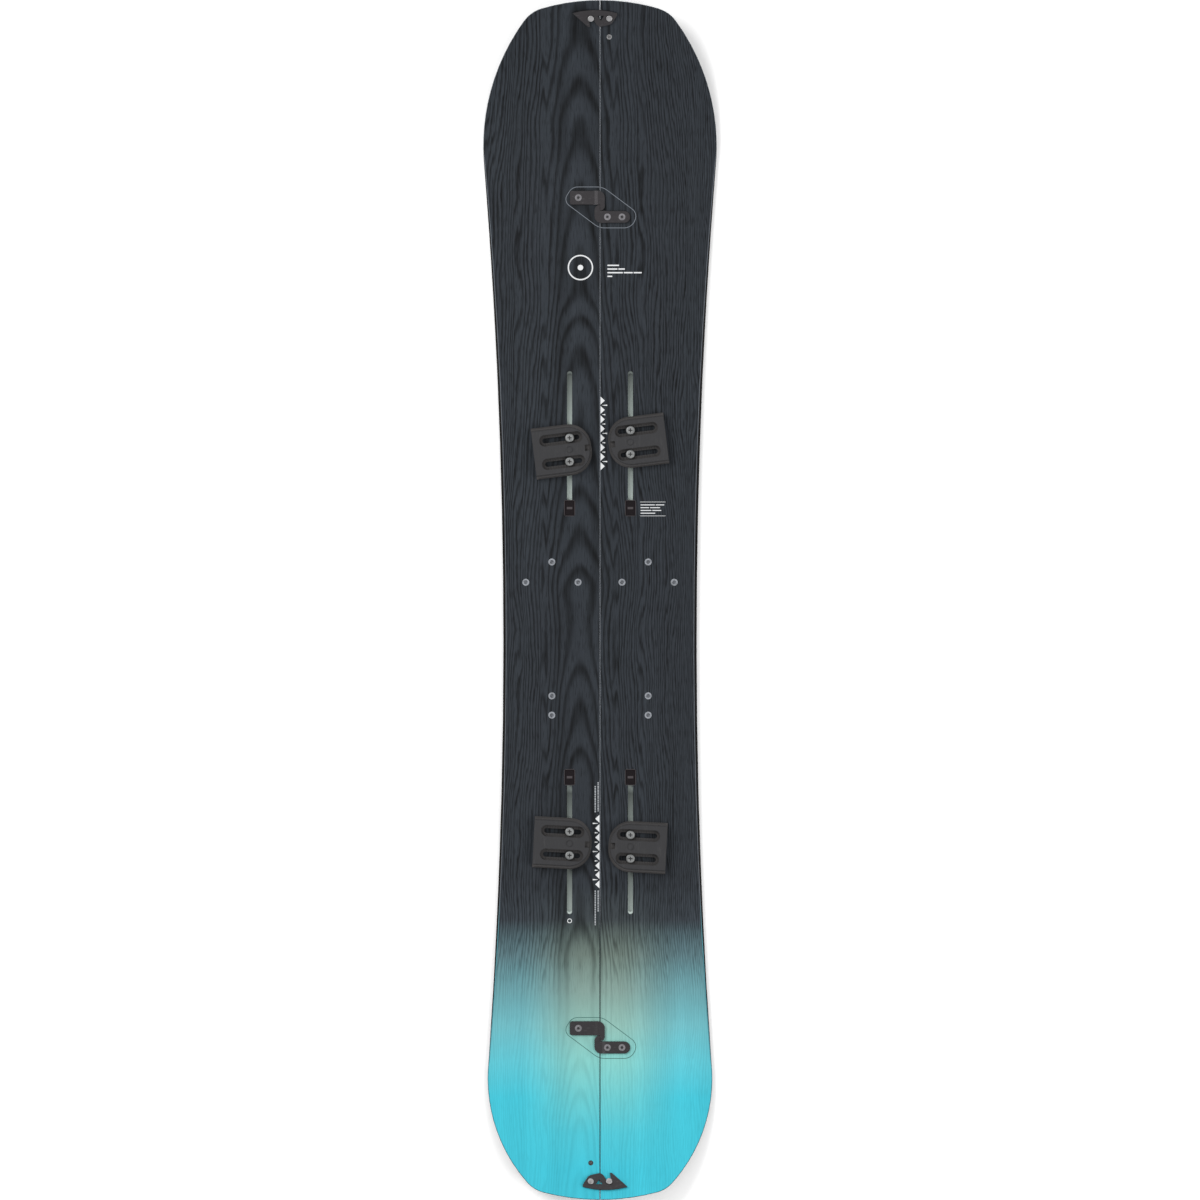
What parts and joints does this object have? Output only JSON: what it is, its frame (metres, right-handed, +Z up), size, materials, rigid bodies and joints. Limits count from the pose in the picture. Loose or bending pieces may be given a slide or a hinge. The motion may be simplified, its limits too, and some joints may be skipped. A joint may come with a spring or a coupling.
{
  "type": "splitboard",
  "caption": "Splitboard: a snowboard that parts along its centre line, with binding channels, half pucks, interlocking hooks and rotating tip clips.",
  "frame": {"origin": "on the ground under the centre of the whole board, at the bottom centre of its box", "axes": "+Y towards the nose, +X to the right half seen from above with the nose up, +Z up out of the deck"},
  "size_m": [0.3038, 1.56, 0.0499],
  "materials": {
    "topsheet": "satin lacquered stained veneer, dark blue-grey fading to turquoise at the tail",
    "base": "sintered polyethylene with a fine structure",
    "sidewall": "bevelled and sanded",
    "seam_sidewall": "sanded slate grey",
    "laminate": "resin-bonded glass fibre",
    "wood_core": "raw glued strips",
    "channel": "satin",
    "black_plastic": "moulded",
    "puck_plastic": "moulded, fine grained",
    "insert": "turned",
    "black_metal": "black powder coat, worn at the edges",
    "rivet": "satin",
    "washer": "black oxide",
    "steel": "bright zinc"
  },
  "bodies": {
    "right_half": {"right_base": "base", "right_steel_edge": "steel", "right_lower_laminate": "laminate", "right_core": "wood_core", "right_outer_sidewall": "sidewall", "right_inner_sidewall": "seam_sidewall", "right_upper_laminate": "laminate", "right_topsheet": "topsheet", "right_front_channel": "channel", "right_rear_channel": "channel", "right_front_channel_plug": "black_plastic", "right_rear_channel_plug": "black_plastic", "right_touring_inserts": "insert", "right_nose_hook": "black_metal", "right_tail_hook": "black_metal", "right_hook_screws": "steel", "right_nose_clip_rivet": "rivet", "right_tail_clip_stud": "rivet", "right_nose_eyelet": "black_metal"},
    "left_half": {"left_base": "base", "left_steel_edge": "steel", "left_lower_laminate": "laminate", "left_core": "wood_core", "left_outer_sidewall": "sidewall", "left_inner_sidewall": "seam_sidewall", "left_upper_laminate": "laminate", "left_topsheet": "topsheet", "left_front_channel": "channel", "left_rear_channel": "channel", "left_front_channel_plug": "black_plastic", "left_rear_channel_plug": "black_plastic", "left_touring_inserts": "insert", "left_nose_hook": "black_metal", "left_tail_hook": "black_metal", "left_hook_screws": "steel", "left_tail_clip_rivet": "rivet", "left_nose_clip_stud": "rivet", "left_tail_eyelet": "black_metal"},
    "nose_clip": {"nose_clip": "black_metal"},
    "tail_clip": {"tail_clip": "black_metal"},
    "front_left_puck": {"front_left_puck": "puck_plastic", "front_left_puck_washers": "washer", "front_left_puck_screws": "steel", "front_left_channel_nuts": "steel"},
    "front_right_puck": {"front_right_puck": "puck_plastic", "front_right_puck_washers": "washer", "front_right_puck_screws": "steel", "front_right_channel_nuts": "steel"},
    "rear_left_puck": {"rear_left_puck": "puck_plastic", "rear_left_puck_washers": "washer", "rear_left_puck_screws": "steel", "rear_left_channel_nuts": "steel"},
    "rear_right_puck": {"rear_right_puck": "puck_plastic", "rear_right_puck_washers": "washer", "rear_right_puck_screws": "steel", "rear_right_channel_nuts": "steel"}
  },
  "joints": [
    {"name": "unhook_slide", "type": "slide", "parent": "right_half", "child": "left_half", "axis": [0, 1, 0], "range_m": [0, 0.014]},
    {"name": "nose_clip_turn", "type": "hinge", "parent": "right_half", "child": "nose_clip", "pos_m": [0.012, 0.7569, 0.04352], "axis": [0, 0.2756, -0.9613], "range_deg": [0, 180]},
    {"name": "tail_clip_turn", "type": "hinge", "parent": "left_half", "child": "tail_clip", "pos_m": [-0.012, -0.7569, 0.03367], "axis": [0, -0.2588, -0.9659], "range_deg": [0, 180]},
    {"name": "front_left_puck_slide", "type": "slide", "parent": "left_half", "child": "front_left_puck", "axis": [0, 1, -0.0061], "range_m": [-0.035, 0.06]},
    {"name": "front_right_puck_slide", "type": "slide", "parent": "right_half", "child": "front_right_puck", "axis": [0, 1, -0.0064], "range_m": [-0.035, 0.06]},
    {"name": "rear_left_puck_slide", "type": "slide", "parent": "left_half", "child": "rear_left_puck", "axis": [0, 1, 0.0087], "range_m": [-0.055, 0.04]},
    {"name": "rear_right_puck_slide", "type": "slide", "parent": "right_half", "child": "rear_right_puck", "axis": [0, 1, 0.0089], "range_m": [-0.055, 0.04]}
  ],
  "couplings": [
    {"joint": "nose_clip_turn", "follows": "unhook_slide", "rad_per_m": 224.4},
    {"joint": "tail_clip_turn", "follows": "unhook_slide", "rad_per_m": 224.4}
  ]
}
